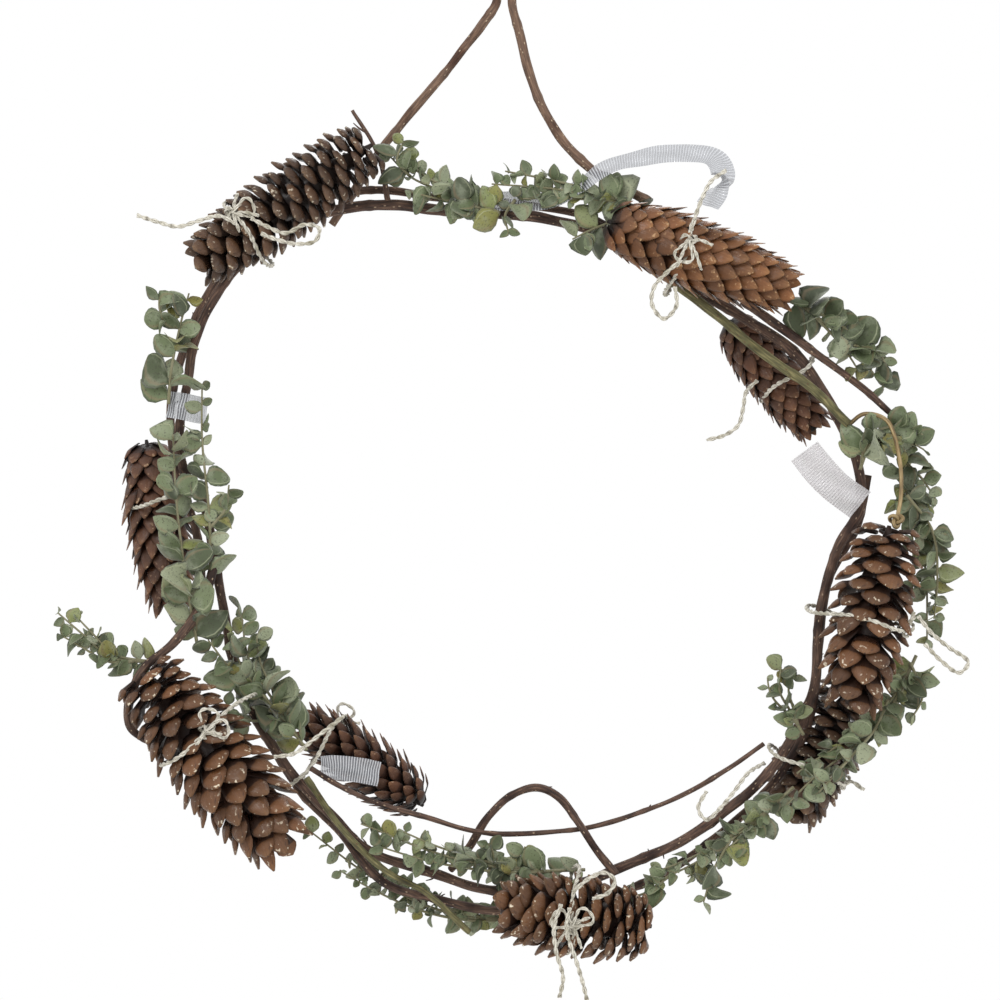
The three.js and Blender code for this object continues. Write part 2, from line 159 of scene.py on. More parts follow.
# %% Surfaces
def surface(points, across, along, tone=0.5, around=True):
    """Grids (shapes, rows, columns, 3); a face joins (i,j), (i,j+1), (i+1,j+1), (i+1,j)."""
    points = np.asarray(points, float)
    points = points.reshape((-1,) + points.shape[-3:])
    shapes, rows, columns, _ = points.shape
    wide = columns if around else columns - 1
    i, j = np.meshgrid(np.arange(rows - 1), np.arange(wide), indexing="ij")
    rows_of = np.stack([i, i, i + 1, i + 1], -1).reshape(-1, 4)
    columns_of = np.stack([j, j + 1, j + 1, j], -1).reshape(-1, 4)
    start = (np.arange(shapes) * rows * columns)[:, None, None]
    quads = rows_of * columns + columns_of % columns + start
    along = np.broadcast_to(along, (shapes, rows))
    across = np.broadcast_to(across, (shapes, columns + 1 if around else columns))
    uv = np.stack([along[:, rows_of], across[:, columns_of]], -1)
    ends = []
    if around:
        ring = np.arange(columns)
        ends = [ring[::-1] + start[:, :, 0], (rows - 1) * columns + ring + start[:, :, 0]]
    tones = np.broadcast_to(np.asarray(tone, float).reshape(-1, 1), (shapes, rows * columns))
    return {
        "points": points.reshape(-1, 3), "quads": quads.reshape(-1, 4), "uv": uv.reshape(-1, 2),
        "ends": [end.astype(int) for end in ends], "tone": tones.reshape(-1),
    }


def make_piece(name, surfaces, material, replaced=()):
    """Joins surfaces into one object that rides on the frame and stands for its solid."""
    offsets = np.cumsum([0] + [len(part["points"]) for part in surfaces])
    faces, uvs = [], []
    for part, offset in zip(surfaces, offsets):
        faces += (part["quads"] + offset).tolist()
        uvs.append(part["uv"])
    for part, offset in zip(surfaces, offsets):
        for end in part["ends"]:
            faces += (end + offset).tolist()
            uvs.append(np.full((end.size, 2), 0.5))
    mesh = bpy.data.meshes.new(name)
    mesh.from_pydata(place(np.concatenate([part["points"] for part in surfaces])), [], faces)
    mesh.uv_layers.new(name="uv").uv.foreach_set("vector", np.concatenate(uvs).ravel())
    tone = mesh.attributes.new("tone", "FLOAT", "POINT")
    tone.data.foreach_set("value", np.concatenate([part["tone"] for part in surfaces]))
    mesh.shade_smooth()
    mesh.materials.append(material)
    piece = bpy.data.objects.new(name, mesh)
    show(piece)
    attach(piece, "root")
    if replaced:
        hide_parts(*replaced)
    return piece


def bar(line, radius, sides=10, beside=(0, 1, 0), tone=0.5):
    """Round bar: line(i) + radius * (cos(a) * side + sin(a) * up), closed at both ends."""
    along, side, up = directions(line, beside)
    angle = circle(sides)
    ring = np.cos(angle)[:, None] * side[:, None] + np.sin(angle)[:, None] * up[:, None]
    radius = np.broadcast_to(np.asarray(radius, float).reshape(len(np.atleast_1d(radius)), -1),
                             (len(line), sides))
    run = run_along(line)
    around = np.arange(sides + 1) / sides * 2 * np.pi * radius.mean()
    return surface(line[:, None] + radius[:, :, None] * ring, around * MM, run * MM, tone)


def blade(centre, across, sideways, lift, normal, rows, draw):
    """Scales or leaves: point = centre + across sideways + lift normal, closed round the edge."""
    grid = centre[:, :, None] + across[..., None] * sideways[:, None, None] + lift[..., None] * normal
    columns = across.shape[-1]
    v = 0.5 + 0.5 * np.cos(2 * np.pi * np.arange(columns + 1) / columns)
    return surface(grid[:, :, ::-1], v[::-1], rows, draw.uniform(0, 1, len(centre)))


print("a bar of 5 rows has", len(bar(smooth_line([[0, 0, 0], [4, 0, 4]], 1), 1.0)["quads"]), "faces")

# %% [markdown]
# ## Colours and finishes
#
# A finish is a small tree of shader nodes. One helper adds a node and fills its sockets, so each
# material below reads from top to bottom like a recipe. Colours are given as screen values from
# 0 to 255, and turned into the linear light values that the shader wants.

# %% Helpers for materials
def paint(red, green, blue):
    """Screen value c to linear light: ((c/255 + 0.055) / 1.055) ** 2.4."""
    levels = (np.array([red, green, blue]) / 255 + 0.055) / 1.055
    return (*(levels**2.4).tolist(), 1.0)


def new_material(name):
    """An empty material, its node tree and its output node."""
    material = bpy.data.materials.new(name)
    material.use_nodes = True
    material.node_tree.nodes.clear()
    return material, material.node_tree


def add(tree, kind, sockets=None, **settings):
    """Adds a node; a socket is given a number, a colour, or another node's output to join."""
    node = tree.nodes.new("ShaderNode" + kind)
    for key, value in settings.items():
        setattr(node, key, value)
    for key, value in (sockets or {}).items():
        if isinstance(value, bpy.types.NodeSocket):
            tree.links.new(value, node.inputs[key])
        else:
            node.inputs[key].default_value = value
    return node


def begin(name):
    """A new material and its tree, with coordinates along the piece and in space."""
    material, tree = new_material(name)
    uv = add(tree, "UVMap", uv_map="uv").outputs[0]
    return material, tree, uv, add(tree, "TexCoord").outputs["Object"]


def ramp(tree, factor, stops):
    """A colour for each value of `factor`, blended between (position, colour) stops."""
    node = add(tree, "ValToRGB", {"Fac": factor})
    elements = node.color_ramp.elements
    while len(elements) < len(stops):
        elements.new(0.5)
    for element, (position, colour) in zip(elements, stops):
        element.position = position
        element.color = colour
    return node.outputs["Color"]


def mix(tree, factor, first, second, blend="MIX"):
    """Blends two colours; `factor` 0 gives the first."""
    node = add(tree, "Mix", data_type="RGBA", blend_type=blend)
    for key, value in (("Factor", factor), ("A", first), ("B", second)):
        socket = next(s for s in node.inputs if s.name == key and (s.type == "RGBA" or key == "Factor"))
        if isinstance(value, bpy.types.NodeSocket):
            tree.links.new(value, socket)
        else:
            socket.default_value = value
    return next(s for s in node.outputs if s.type == "RGBA")


def math(tree, operation, first, second=0.0):
    """One sum on two numbers."""
    return add(tree, "Math", {0: first, 1: second}, operation=operation).outputs[0]


def band(tree, value, low, high):
    """0 below `low`, 1 above `high`, and a smooth step between."""
    node = add(tree, "MapRange", {"Value": value, "From Min": low, "From Max": high},
               interpolation_type="SMOOTHSTEP")
    return node.outputs["Result"]


def noise(tree, coords, scale, detail=4.0, stretch=(1, 1, 1)):
    """Cloudy values from 0 to 1; `stretch` squeezes the pattern along an axis."""
    mapped = add(tree, "Mapping", {"Vector": coords, "Scale": stretch}).outputs[0]
    return add(tree, "TexNoise", {"Vector": mapped, "Scale": scale, "Detail": detail}).outputs["Fac"]


def close(tree, colour, roughness, height=None, depth=0.001, **extra):
    """Joins colour, roughness and a bump to the surface shader and the output."""
    sockets = {"Base Color": colour, "Roughness": roughness}
    sockets.update({key.replace("_", " "): value for key, value in extra.items()})
    if height is not None:
        bump = add(tree, "Bump", {"Height": height, "Distance": depth, "Strength": 1.0})
        sockets["Normal"] = bump.outputs[0]
    shader = add(tree, "BsdfPrincipled", sockets)
    output = add(tree, "OutputMaterial", {"Surface": shader.outputs[0]})
    return shader, output


print("mid grey in linear light:", round(paint(128, 128, 128)[0], 3))

# %% [markdown]
# ## Vine bark
#
# The bark is dull and dry: streaks run along the vine, patches are lighter or redder, and small
# pale breathing pores are scattered over it. The streaks read the piece's own UV map, which
# is in metres along and round the vine, so they follow every bend.

# %% Bark and cane
def bark_material(name, dark, middle, light, pore, pore_share):
    """Noise streaks between three browns, with Voronoi cells small enough to be pores."""
    material, tree, uv, here = begin(name)
    streaks = noise(tree, uv, 900.0, 5.0, (0.12, 1.0, 1.0))
    patches = noise(tree, here, 55.0, 3.0)
    base = ramp(tree, streaks, [(0.3, dark), (0.55, middle), (0.75, light)])
    aged = mix(tree, band(tree, patches, 0.45, 0.7), base, middle, "SOFT_LIGHT")
    cells = add(tree, "TexVoronoi", {
        "Vector": add(tree, "Mapping", {"Vector": uv, "Scale": (0.55, 1.0, 1.0)}).outputs[0],
        "Scale": 420.0}).outputs["Distance"]
    pores = math(tree, "SUBTRACT", 1.0, band(tree, cells, pore_share, pore_share + 0.1))
    colour = mix(tree, pores, aged, pore)
    height = math(tree, "ADD", math(tree, "MULTIPLY", streaks, 0.6), math(tree, "MULTIPLY", pores, 0.5))
    close(tree, colour, 0.82, height, 0.0006)
    return material


bark = bark_material("vine_bark", paint(44, 32, 26), paint(84, 62, 50), paint(124, 98, 80),
                     paint(150, 128, 106), 0.12)
hanger_bark = bark_material("hanger_bark", paint(70, 54, 44), paint(104, 80, 64), paint(132, 108, 88),
                            paint(166, 146, 122), 0.12)
green_bark = bark_material("green_cane", paint(66, 62, 40), paint(96, 92, 58), paint(140, 130, 90),
                           paint(96, 70, 48), 0.1)
print("bark finishes made")

# %% [markdown]
# ## Vines
#
# A vine isn't a perfect pipe. It thins towards its tip, swells at each node where a leaf once
# grew, and its section is a little out of round. All of that is one radius formula over the
# grid, so no sculpting is needed.

# %% The shape of a vine
NODE_SPACING = 46.0


def ripple(seed, *waves):
    """Sum of sines of the given (value, count) pairs, with phases drawn from `seed`."""
    draw = np.random.default_rng(seed)
    total = 0.0
    for value, count in waves:
        total = total + np.sin(value * count + draw.uniform(0, 2 * np.pi))
    return total / len(waves)


def vine_bar(route, thick, thin, seed, sides=12, step=1.6):
    """Radius = taper/2 (1 + 0.05 ripple(s) + 0.12 exp(-(d/2.2)^2)) (1 + 0.04 ripple + 0.03 ripple)."""
    line = smooth_line(route, step)
    run = np.linspace(0, length_of(line), len(line))
    angle = circle(sides)
    taper = thick + (thin - thick) * run / run[-1]
    from_node = (run + 11 * seed) % NODE_SPACING - NODE_SPACING / 2
    swell = 1 + 0.05 * ripple(seed, (run, 0.11), (run, 0.29)) + 0.12 * np.exp(-((from_node / 2.2) ** 2))
    lobes = 0.04 * ripple(seed + 50, (angle[None] + run[:, None] * 0.05, 2))
    lobes = lobes + 0.03 * ripple(seed + 90, (angle[None] - run[:, None] * 0.08, 3))
    wander = np.stack([ripple(seed + 7, (run, 0.09)), ripple(seed + 8, (run, 0.07)),
                       ripple(seed + 9, (run, 0.1))], 1) * 0.35
    fade = np.sin(np.pi * np.linspace(0, 1, len(run)))[:, None] ** 0.3
    return bar(line + wander * fade, taper[:, None] / 2 * swell[:, None] * (1 + lobes), sides)


def spur(line, at, out, reach, thickness):
    """A thin side shoot: a bar from line(at) that tapers to a point and curls along the vine."""
    along = unit(line[min(at + 1, len(line) - 1)] - line[at])
    tip = line[at] + reach * unit(np.asarray(out, float) + 0.5 * along)
    middle = line[at] + reach * 0.5 * unit(np.asarray(out, float))
    path = smooth_line([line[at], middle, tip], 1.2)
    return bar(path, thickness * np.linspace(1.0, 0.35, len(path)), 6, (0.2, 1, 0.1))


def spurs(route, count, seed, thickness=0.8):
    """`count` side shoots at random places on a route, in random directions."""
    draw = np.random.default_rng(seed)
    line = smooth_line(route, 4.0)
    places = draw.integers(3, len(line) - 3, count)
    outs = draw.normal(size=(count, 3)) * (1, 0.7, 1)
    reaches = draw.uniform(4, 10, count)
    return [spur(line, at, out, reach, thickness) for at, out, reach in zip(places, outs, reaches)]


print("a node every", NODE_SPACING, "mm")

# %% [markdown]
# The hanger is one long vine that runs up from the ring, bends over and comes down again. The
# ring itself is three vines laid beside each other, and thinner ones are looped in at the
# bottom. Each route is the same one that the solid model follows.

# %% Vine routes
VINES = {
    "hanger_vine": (5.0, 5.8, hanger_bark, [
        [-111, 16, 194], [-98, 15, 213], [-86, 8, 231], [-79, 2, 240], [-69, 0, 251], [-51, 0, 273],
        [-33, 0, 295], [-20, 0, 311], [-11, 0, 327], [-14.5, 0, 338], [-13.6, 0, 351], [-6.5, 0, 357],
        [0.6, 0, 351], [1.5, 0, 338], [-2, 0, 327], [2, 0, 309], [8, 0, 286], [16, 0, 264],
        [28, 0, 243], [45, -2, 226], [63, -4, 215], [80, -6, 205]]),
    "vine_main": (6.6, 5.6, bark, [
        [-141, 7, 186], [-123, 5, 197], [-98, 2, 203], [-76, 0, 204], [-45, 0, 201], [-10, 2, 199],
        [20, 3, 196], [51, 2, 187], [96, 2, 159], [140, 0, 135], [165, -2, 117], [184, -3, 93],
        [197, -3, 69], [205, -2, 48], [207, 0, 22], [193, 1, -4], [185, 1, -31], [182, 0, -57],
        [180, 0, -81], [175, 0, -98], [163, -1, -122], [141, -1, -147], [111, 0, -171],
        [75, 1, -189], [35, 2, -204], [-7, 1, -208], [-53, 0, -196], [-91, 0, -181],
        [-111, 1, -162], [-137, 2, -133], [-156, 2, -104], [-169, 2, -70], [-176, 1, -33],
        [-181, 0, -3], [-187, 0, 24], [-199, -1, 47], [-201, -2, 70], [-196, -3, 99],
        [-192, -4, 120], [-183, -5, 142], [-169, -5, 163], [-150, -3, 181]]),
    "vine_second": (5.4, 4.9, bark, [
        [-152, 11, -114], [-130, 10, -148], [-105, 9, -174], [-93, 8, -190], [-80, 8, -203],
        [-68, 8, -209], [-46, 8, -214], [-14, 9, -221], [22, 10, -221], [60, 10, -212],
        [97, 9, -194], [134, 8, -166], [161, 8, -137], [177, 9, -109], [184, 10, -60],
        [190, 10, -20], [207, 9, 12], [213, 8, 42]]),
    "vine_third": (5.4, 4.6, bark, [
        [-189, 11, -32], [-193, 11, 10], [-205, 11, 45], [-208, 10, 80], [-201, 10, 115],
        [-186, 11, 150], [-157, 12, 186], [-122, 10, 208], [-82, 10, 214], [-40, 9, 209],
        [2, 10, 206], [46, 11, 197], [86, 11, 174]]),
    "vine_inner_arc": (3.2, 2.9, bark, [
        [-122, -8, -133], [-105, -6, -144], [-90, -5, -151], [-57, -3, -162], [-27, -1, -171],
        [9, -1, -173], [45, -1, -169], [87, 0, -156], [126, 2, -136], [150, 7, -120]]),
    "vine_bottom_loop": (4.8, 4.6, bark, [
        [-39, 14, -197], [-27, 9, -182], [-15, 7, -163], [-3, 5, -151], [12, 4, -146],
        [27, -1, -152], [39, -6, -167], [50, -9, -184], [60, -11, -196]]),
    "branch_broken": (6.0, 3.6, bark, [
        [136, -10, 146], [158, -13, 129], [195, -11, 103], [226, -8, 77]]),
    "branch_frayed": (6.0, 4.5, bark, [
        [-179, -10, -12], [-187, -14, -36], [-201, -22, -57], [-217, -34, -71], [-226, -34, -89],
        [-227, -27, -106], [-216, -16, -116], [-199, -6, -121]]),
    "twig_top": (3.4, 2.0, bark, [[-76, -6, 206], [-79, -9, 224], [-86, -11, 241], [-97, -11, 259]]),
    "cane_upper": (5.6, 5.6, green_bark, [
        [81, -8, 168], [105, -9, 149], [132, -9, 127], [159, -12, 106], [180, -14, 90], [198, -15, 72]]),
    "cane_lower": (3.9, 3.6, green_bark, [
        [-124, -14, -138], [-102, -12, -170], [-78, -10, -193], [-54, -8, -207], [-27, -7, -231]]),
}
SPUR_COUNTS = {"vine_main": 22, "vine_second": 12, "vine_third": 10, "hanger_vine": 0, "twig_top": 2}

for seed, (name, (thick, thin, material, route)) in enumerate(VINES.items()):
    parts = [vine_bar(route, thick, thin, seed)]
    parts += spurs(route, SPUR_COUNTS.get(name, 1), SEEDS["spurs"] + seed)
    make_piece(name + "_bark", parts, material, [name])
    print(name, round(length_of(smooth_line(route, 2.0))), "mm long")

# %% [markdown]
# ## Twine
#
# The twine is two soft strands twisted together. Each strand's middle goes round the cord's
# middle as a helix, so the cord is two bars. Each loose end follows its own route, and its
# length is printed.

# %% Twine finish
def twine_material():
    """Pale and darker fibres in streaks along each strand."""
    material, tree, uv, here = begin("twine")
    fibres = noise(tree, uv, 1500.0, 4.0, (0.25, 1.0, 1.0))
    soil = noise(tree, here, 90.0, 3.0)
    colour = ramp(tree, fibres, [(0.32, paint(100, 94, 82)), (0.45, paint(168, 163, 149)),
                                 (0.62, paint(214, 210, 198))])
    colour = mix(tree, math(tree, "MULTIPLY", band(tree, soil, 0.45, 0.7), 0.6), colour,
                 paint(128, 122, 98))
    close(tree, colour, 0.9, fibres, 0.0004, Sheen_Weight=0.3)
    return material


twine = twine_material()
TWINE = 2.5
TWIST = 11.0
TWINE_STEP = 0.9


def twisted(line, beside=(0, 1, 0), size=TWINE):
    """Strand centre = line + 0.25 size (cos(t) side + sin(t) up), t = 2 pi run / twist + 0 or pi."""
    _, side, up = directions(line, beside)
    run = run_along(line)
    turn = 2 * np.pi * run / TWIST
    strands = []
    for start in (0, np.pi):
        offset = np.cos(turn + start)[:, None] * side + np.sin(turn + start)[:, None] * up
        strands.append(bar(line + 0.25 * size * offset, 0.29 * size, 7, beside))
    return strands


print("twine is", TWINE, "mm thick and turns once every", TWIST, "mm")

# %% Loose ends and bows
LOOSE_TWINE = {
    "twine_top_left_tail": ("bare", [
        [-161, -60, 186], [-170, -62, 190], [-182, -63, 187], [-194, -61, 184], [-206, -59, 187],
        [-218, -57, 191]]),
    "twine_top_left_bow": ("object", [
        [-152, -60, 189], [-143, -63, 184], [-132, -63, 180], [-121, -62, 185], [-113, -60, 183],
        [-115, -60, 176], [-125, -61, 174], [-136, -63, 176], [-146, -62, 180]]),
    "twine_top_right_low": ("bare", [
        [95, -56, 165], [87, -57, 158], [80, -53, 150], [79, -50, 140], [86, -48, 132],
        [93, -50, 139], [92, -54, 150]]),
    "twine_top_right_up": ("bare", [
        [101, -58, 182], [104, -60, 192], [108, -58, 202], [113, -53, 211], [122, -48, 218]]),
    "twine_inner_right_tail": ("bare", [
        [146, 6, 99], [139, 3, 92], [137, 1, 82], [134, 0, 72], [126, 0, 66], [115, 0, 63]]),
    "twine_right_bow": ("object", [
        [232, -56, -40], [240, -56, -50], [250, -53, -58], [262, -50, -67], [257, -50, -73],
        [246, -52, -66], [236, -55, -56]]),
    "twine_lower_right_bow": ("object", [
        [150, 2, -131], [139, -8, -136], [131, -14, -145], [122, -18, -155], [113, -21, -162],
        [108, -23, -155], [113, -22, -145]]),
    "twine_bottom_long_tail": ("bare", [
        [31, -62, -207], [29, -66, -219], [34, -66, -235], [39, -64, -252], [43, -62, -271],
        [47, -62, -291]]),
    "twine_bottom_short_tail": ("bare", [
        [26, -62, -205], [22, -66, -217], [23, -67, -231], [27, -66, -246], [25, -64, -258]]),
    "twine_bottom_bow": ("object", [
        [33, -61, -198], [42, -63, -190], [51, -61, -187], [57, -59, -192], [53, -59, -199],
        [44, -61, -202]]),
    "twine_lower_left_tail": ("bare", [
        [-140, -48, -122], [-128, -46, -120], [-117, -44, -112], [-108, -42, -105], [-100, -40, -99]]),
}

for name, (far_end, route) in LOOSE_TWINE.items():
    line = smooth_line(route, TWINE_STEP)
    piece = make_piece(name + "_strands", twisted(line), twine, [name])
    print(name, round(length_of(line)), "mm")

# %% [markdown]
# ## Cones
#
# A cone is a stem with scales set round it in a spiral. Each scale sits 137.5 degrees on from
# the one before, which is the golden angle, and that alone gives the crossing spirals seen on
# every real cone. The scale leaves the stem at an opening angle and curls back towards the tip
# of the cone. Open pine cones have wide angles and dark gaps, spruce cones lie almost shut.

# %% The scales of a cone
GOLDEN_ANGLE = np.pi * (3 - np.sqrt(5))
SCALE_ROWS = np.array([0.0, 0.25, 0.46, 0.56, 0.66, 0.78, 0.9, 0.985])
SCALE_COLUMNS = 8
WIDTH_SPREAD = 0.07
# Where the scales start and how thick the spindle is, as shares of the radius of the cone.
SCALE_ROOT = 0.34
SPINDLE = 0.42


def swell(h):
    """How wide the cone is at h, from 0 at its base to 1 at its tip: sin(pi(0.14+0.78h))^0.42."""
    return np.sin(np.pi * np.clip(0.14 + 0.78 * h, 0, 1)) ** 0.42


def cone_axes(base, tip):
    """The cone's own directions: along from base to tip, and two across it."""
    along = unit(np.subtract(tip, base).astype(float))
    first = unit(np.cross(along, [0.3, 1.0, 0.2]))
    return along, first, np.cross(along, first)


def scale_grids(cone, seed):
    """Centre line r(u) = core + sum sin(bend) dl, a(u) = sum cos(bend) dl; section w cos, t sin.

    The bend is the opening angle along the stalk of the scale, and drops by the share `curl`
    at the elbow, so that the outer plate of the scale lies along the cone.
    """
    draw = np.random.default_rng(seed)
    count = cone["scales"]
    along, first, second = cone_axes(cone["base"], cone["tip"])
    length = np.linalg.norm(np.subtract(cone["tip"], cone["base"]))
    h = (np.arange(count) + 0.5) / count
    turn = GOLDEN_ANGLE * np.arange(count) + draw.normal(0, 0.05, count)
    opening = np.radians(np.interp(h, [0, 0.12, 0.6, 1], cone["opening"]))
    opening = opening + np.radians(draw.normal(0, cone["loose"], count))
    core = SCALE_ROOT * cone["radius"] * swell(h)
    u = SCALE_ROWS[None, :]
    elbow = np.clip((u - 0.5) / 0.12, 0, 1)
    bend = opening[:, None] * (1 - cone["curl"] * elbow**2 * (3 - 2 * elbow))
    steps = np.diff(np.concatenate([[0.0], SCALE_ROWS]))[None, :]
    reach = cone["radius"] * swell(h) * (1 + draw.normal(0, 0.04, count)) - core
    size = np.minimum(reach / (np.sin(bend) * steps).sum(axis=1), cone["longest"])[:, None]
    out = core[:, None] + size * np.cumsum(np.sin(bend) * steps, axis=1)
    rise = size * np.cumsum(np.cos(bend) * steps, axis=1)
    height = (cone["start"] + (1 - cone["start"]) * h[:, None]) * length + rise - rise[:, -1:]
    grow = np.interp(u, [0, 0.25, 0.56, 0.66, 1], [0.75, 0.88, 0.98, 1.0, 1.0])
    far = np.clip(u - 0.64, 0, 1) / 0.36
    round_off = (1 - far ** cone["point"]) ** 0.85
    wide = cone["width"] * (0.5 + 0.5 * swell(h))[:, None] * grow * round_off
    wide = wide * draw.normal(1, WIDTH_SPREAD, (count, 1))
    thick = cone["thick"] * np.interp(u, [0, 0.52, 0.58, 0.72, 1.0], [0.8, 0.75, 1.15, 1.1, 0.3])
    angle = circle(SCALE_COLUMNS)
    across = wide[:, :, None] * np.cos(angle)
    cup = cone["cup"] * (np.cos(angle) ** 2) * wide[..., None] * u[..., None]
    lift = thick[..., None] * np.sin(angle) + cup
    radial = np.cos(turn)[:, None] * first + np.sin(turn)[:, None] * second
    sideways = np.cross(along, radial)
    forward_r, forward_a = np.sin(bend), np.cos(bend)
    normal = -forward_a[..., None] * radial[:, None] + forward_r[..., None] * along
    centre = out[..., None] * radial[:, None] + height[..., None] * along
    centre = centre + np.asarray(cone["base"], float)
    return blade(centre, across, sideways, lift, normal[:, :, None], SCALE_ROWS, draw)


def cone_core(cone):
    """A spindle inside the scales: radius 0.42 R swell(h), narrowed at both ends."""
    along = unit(np.subtract(cone["tip"], cone["base"]).astype(float))
    length = np.linalg.norm(np.subtract(cone["tip"], cone["base"]))
    h = np.linspace(0.0, 0.94, 24)
    line = np.asarray(cone["base"], float) + (h * length)[:, None] * along
    radius = SPINDLE * cone["radius"] * swell(h) * (1 - 0.5 * h**3) * np.clip(0.15 + 3 * h, 0, 1)
    return bar(line, radius, 12, (0.3, 1.0, 0.2), 0.2)


# %% [markdown]
# ## The colour of a scale
#
# The stalk of a scale is dark brown. The thick plate at its end turns sharply to tan, with a
# small dark navel in the middle, and its edge is pale and scuffed. Near the edge some scales get
# pale specks that are partly dried resin and partly painted glints. The UV map runs from the
# root of a scale (0) to its edge (1), so one ramp paints all of them.

# %% Scale finishes
NAVEL_AT = 0.82


def mixed_paint(first, second, share):
    """first + share * (second - first), for each channel."""
    return tuple(a + share * (b - a) for a, b in zip(first, second))


def scale_material(name, root, body, tip, edge, painted_glint_and_resin, contrast, plate):
    """Ramp over the scale's length, changed by noise and each scale's own tone.

    `plate` says how far the colour jumps from body to tip where the outer plate begins.
    """
    material, tree, uv, here = begin(name)
    split = add(tree, "SeparateXYZ", {"Vector": uv})
    tone = add(tree, "Attribute", attribute_name="tone").outputs["Fac"]
    grain = noise(tree, here, 420.0, 5.0)
    blotch = noise(tree, here, 130.0, 3.0)
    waver = math(tree, "MULTIPLY", math(tree, "SUBTRACT", blotch, 0.5), 0.1)
    reach = math(tree, "ADD", split.outputs[0], waver)
    colour = ramp(tree, reach, [(0.2, root), (0.54, body), (0.575, mixed_paint(body, tip, plate)),
                                (0.8, tip), (0.97, edge)])
    off_middle = math(tree, "ABSOLUTE", math(tree, "SUBTRACT", split.outputs[1], 0.5))
    off_along = math(tree, "ABSOLUTE", math(tree, "SUBTRACT", reach, NAVEL_AT))
    off_navel = math(tree, "ADD", off_middle, off_along)
    navel = math(tree, "SUBTRACT", 1.0, band(tree, off_navel, 0.05, 0.09))
    colour = mix(tree, math(tree, "MULTIPLY", navel, 0.6), colour, body)
    shade = ramp(tree, tone, [(0.0, (0.62, 0.6, 0.58, 1)), (0.5, (0.9, 0.9, 0.9, 1)),
                              (1.0, (1.2, 1.12, 1.02, 1))])
    colour = mix(tree, contrast, colour, shade, "MULTIPLY")
    streak = noise(tree, uv, 26.0, 4.0, (0.18, 1.0, 1.0))
    streaks = ramp(tree, streak, [(0.3, (0.55, 0.52, 0.5, 1)), (0.7, (1.15, 1.12, 1.1, 1))])
    colour = mix(tree, 0.55, colour, streaks, "MULTIPLY")
    # Pale specks near the plate's edge: partly dried resin, partly painted highlight standing in for
    # glints.
    painted_glint_and_resin_spots = math(tree, "MULTIPLY", band(tree, grain, 0.6, 0.66), band(tree, split.outputs[0], 0.6, 0.95))
    colour = mix(tree, math(tree, "MULTIPLY", painted_glint_and_resin_spots, 0.8), colour, painted_glint_and_resin)
    height = math(tree, "ADD", math(tree, "MULTIPLY", streak, 0.6), math(tree, "MULTIPLY", grain, 0.4))
    wet = math(tree, "SUBTRACT", 0.55, math(tree, "MULTIPLY", band(tree, blotch, 0.5, 0.65), 0.3))
    close(tree, colour, wet, height, 0.0006, Specular_IOR_Level=0.3)
    return material


# The fifth colour is that of the pale specks, which are dried resin and painted glints.
pine = scale_material("pine_scales", paint(52, 34, 26), paint(56, 38, 29), paint(100, 69, 46),
                      paint(112, 82, 56), paint(232, 220, 196), 1.0, 0.9)
dark_pine = scale_material("dark_pine_scales", paint(46, 32, 25), paint(46, 33, 26), paint(80, 59, 44),
                           paint(108, 86, 66), paint(215, 204, 182), 1.0, 0.8)
spruce = scale_material("spruce_scales", paint(28, 17, 12), paint(70, 44, 27), paint(112, 74, 45),
                        paint(136, 98, 64), paint(180, 146, 108), 0.9, 0.6)
red_spruce = scale_material("red_spruce_scales", paint(24, 15, 11), paint(54, 33, 24), paint(86, 56, 38),
                            paint(116, 84, 60), paint(170, 140, 112), 0.9, 0.55)
print("scale finishes made")

# %% [markdown]
# Each cone below has its own place, size and habit. `opening` gives the angle between a scale
# and the cone's middle at its base, near the base, past the middle and at the tip.

# %% Nine cones
OPEN = {"opening": (108, 80, 62, 34), "curl": 0.3, "loose": 7, "longest": 34, "point": 1.45,
        "thick": 1.8, "cup": 0.22, "start": 0.02}
SHUT = {"opening": (66, 46, 40, 26), "curl": 0.42, "loose": 3, "longest": 30, "point": 1.5,
        "thick": 0.55, "cup": 0.16, "start": 0.08}
CONES = {
    "pine_cone_top_left": dict(OPEN, base=[-84, -29, 236], tip=[-190, -29, 163], radius=24, scales=124,
                               width=7.6, opening=(112, 92, 76, 44), curl=0.3, finish=dark_pine),
    "spruce_cone_top_right": dict(SHUT, base=[54, -29, 191], tip=[167, -29, 148], radius=23,
                                  scales=168, width=6.6, finish=spruce),
    "spruce_cone_inner_right": dict(SHUT, base=[131, 26, 137], tip=[187, 26, 66], radius=19,
                                    scales=120, width=5.6, finish=red_spruce),
    "pine_cone_right": dict(OPEN, base=[219, -34, 12], tip=[196, -34, -100], radius=26, scales=82,
                            width=8.2, opening=(104, 76, 60, 34), finish=pine),
    "pine_cone_lower_right": dict(OPEN, base=[206, 22, -86], tip=[166, 22, -170], radius=25,
                                  scales=90, width=7.8, opening=(112, 90, 74, 42), finish=dark_pine),
    "pine_cone_bottom": dict(OPEN, base=[80, -32, -223], tip=[-14, -32, -211], radius=26, scales=92,
                             width=8.6, opening=(114, 90, 70, 38), finish=pine),
    "spruce_cone_bottom_left": dict(SHUT, base=[-56, 34, -161], tip=[-134, 34, -105], radius=21,
                                    scales=130, width=4.0, opening=(75, 60, 52, 34), loose=4,
                                    finish=red_spruce),
    "pine_cone_lower_left": dict(OPEN, base=[-218, -38, -74], tip=[-130, -38, -182], radius=30,
                                 scales=118, width=8.2, finish=pine),
    "spruce_cone_left": dict(SHUT, base=[-226, 32, 64], tip=[-210, 32, -46], radius=21, scales=140,
                             width=5.8, finish=red_spruce),
}

for seed, (name, cone) in enumerate(CONES.items()):
    parts = [scale_grids(cone, SEEDS["cones"] + seed), cone_core(cone)]
    make_piece(name + "_scales", parts, cone["finish"], [name])
    print(name, cone["scales"], "scales")

